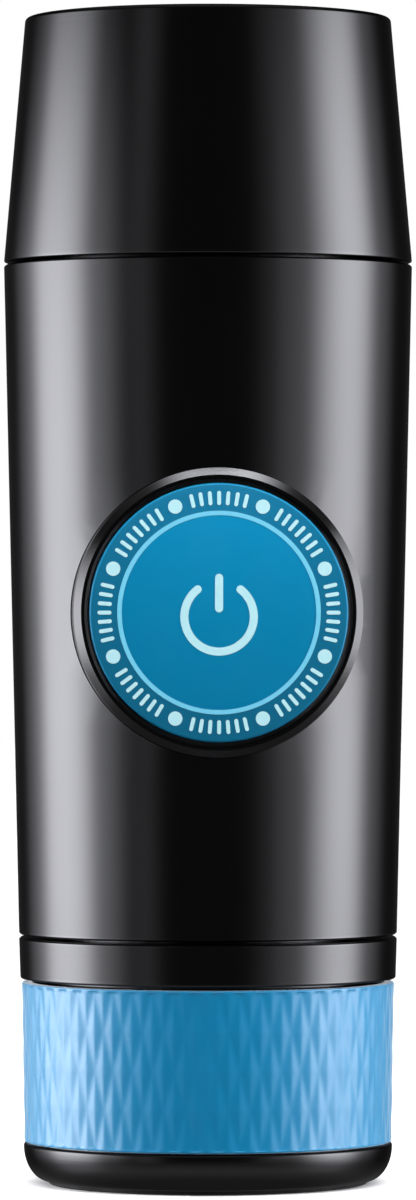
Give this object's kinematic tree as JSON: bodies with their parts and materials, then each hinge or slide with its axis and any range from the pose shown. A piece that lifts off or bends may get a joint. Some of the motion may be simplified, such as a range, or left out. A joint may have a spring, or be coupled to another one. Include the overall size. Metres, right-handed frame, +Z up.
{
  "type": "portable electric espresso maker",
  "caption": "Slim upright battery espresso maker: screw-on cap over a water tank, big round front button, brew head with filter basket, and a drinking cup with a ribbed grip sleeve.",
  "frame": {"origin": "centre of the foot pad's underside", "axes": "+Z up along the body's axis, -Y out of the button's face"},
  "size_m": [0.07, 0.0716, 0.1997],
  "materials": {
    "shell_black": "satin",
    "moulded_black": "matte",
    "grip_blue": "matte",
    "button_blue": "satin",
    "natural_plastic": "matte",
    "silicone": "matte",
    "foot_rubber": "matte",
    "steel": "brushed",
    "pump_alloy": "satin",
    "heater_alloy": "satin",
    "insulation": "matte",
    "circuit_board": "satin",
    "cell": "satin",
    "magnet": "matte",
    "winding": "satin",
    "wire": "satin"
  },
  "bodies": {
    "main": {"body_shell": "shell_black", "group_head": "moulded_black", "group_seal": "silicone", "shower_screen": "steel", "shower_screw": "steel", "button_housing": "shell_black", "button_spring": "steel", "button_seal": "silicone", "switch_body": "moulded_black", "control_board": "circuit_board", "board_carrier": "natural_plastic", "housing_screws": "steel", "board_screws": "steel", "battery_cells": "cell", "battery_strap": "steel", "top_plate": "natural_plastic", "spacers": "steel", "tie_screws": "steel", "pump_port_plate": "pump_alloy", "pump_body": "moulded_black", "pump_cover": "pump_alloy", "pump_screws": "steel", "motor_can": "steel", "motor_endcap": "natural_plastic", "motor_magnets": "magnet", "relief_spring": "steel", "relief_cap": "pump_alloy", "inlet_hose": "silicone", "wiring_loom": "wire", "tank_jacket": "shell_black", "jacket_screws": "steel", "tank_insulation": "insulation", "water_tank": "steel", "tank_seal": "silicone", "tank_outlet": "pump_alloy", "heater_plate": "heater_alloy", "thermostat": "moulded_black", "charge_board": "circuit_board", "charge_socket": "steel"},
    "cap_ring": {"cap_gasket": "silicone"},
    "cap": {"top_cap": "shell_black", "cap_liner": "moulded_black", "cap_vent": "silicone"},
    "basket": {"filter_basket": "steel"},
    "brew_head": {"basket_holder": "shell_black", "cup_seal": "silicone"},
    "cup": {"cup_shell": "shell_black", "cup_sleeve": "grip_blue", "cup_foot": "foot_rubber"},
    "button": {"button_cap": "button_blue", "button_carrier": "natural_plastic"},
    "switch": {"switch_stem": "silicone"},
    "pump_drive": {"drive_gear": "steel", "drive_shaft": "steel", "motor_rotor": "winding"},
    "pump_idler": {"idler_gear": "steel", "idler_shaft": "steel"},
    "relief_valve": {"relief_poppet": "steel"},
    "port_flap": {"port_cover": "moulded_black"}
  },
  "joints": [
    {"name": "cap_lift", "type": "slide", "parent": "main", "child": "cap_ring", "axis": [0, 0, 1], "range_m": [0, 0.036]},
    {"name": "cap_twist", "type": "hinge", "parent": "cap_ring", "child": "cap", "pos_m": [0, 0, 0.17], "axis": [0, 0, 1], "range_deg": [0, 1080]},
    {"name": "head_drop", "type": "slide", "parent": "main", "child": "basket", "axis": [0, 0, -1], "range_m": [0, 0.024]},
    {"name": "head_twist", "type": "hinge", "parent": "basket", "child": "brew_head", "pos_m": [0, 0, 0.045], "axis": [0, 0, -1], "range_deg": [0, 720]},
    {"name": "cup_pull", "type": "slide", "parent": "brew_head", "child": "cup", "axis": [0, 0, -1], "range_m": [0, 0.03]},
    {"name": "button_press", "type": "slide", "parent": "main", "child": "button", "axis": [0, 1, 0], "range_m": [0, 0.0012], "stiffness_N_per_m": 800, "springref_m": -0.001, "deforming": ["button_spring"]},
    {"name": "switch_press", "type": "slide", "parent": "main", "child": "switch", "axis": [0, 1, 0], "range_m": [0, 0.0012]},
    {"name": "pump_spin", "type": "hinge", "parent": "main", "child": "pump_drive", "pos_m": [0, 0.0165, 0.07], "axis": [0, 0, 1], "continuous": true},
    {"name": "idler_spin", "type": "hinge", "parent": "main", "child": "pump_idler", "pos_m": [0, 0.0065, 0.07], "axis": [0, 0, 1], "continuous": true},
    {"name": "valve_lift", "type": "slide", "parent": "main", "child": "relief_valve", "axis": [0, 0, 1], "range_m": [0, 0.001], "stiffness_N_per_m": 500, "springref_m": -0.002, "deforming": ["relief_spring"]},
    {"name": "flap_hinge", "type": "hinge", "parent": "main", "child": "port_flap", "pos_m": [0, 0.03318, 0.11215], "axis": [-1, 0, 0], "range_deg": [0, 95]}
  ],
  "couplings": [
    {"joint": "cap_lift", "follows": "cap_twist", "m_per_rad": 0.0019099},
    {"joint": "head_drop", "follows": "head_twist", "m_per_rad": 0.0019099},
    {"joint": "switch_press", "follows": "button_press", "ratio": 1},
    {"joint": "idler_spin", "follows": "pump_spin", "ratio": -1}
  ]
}
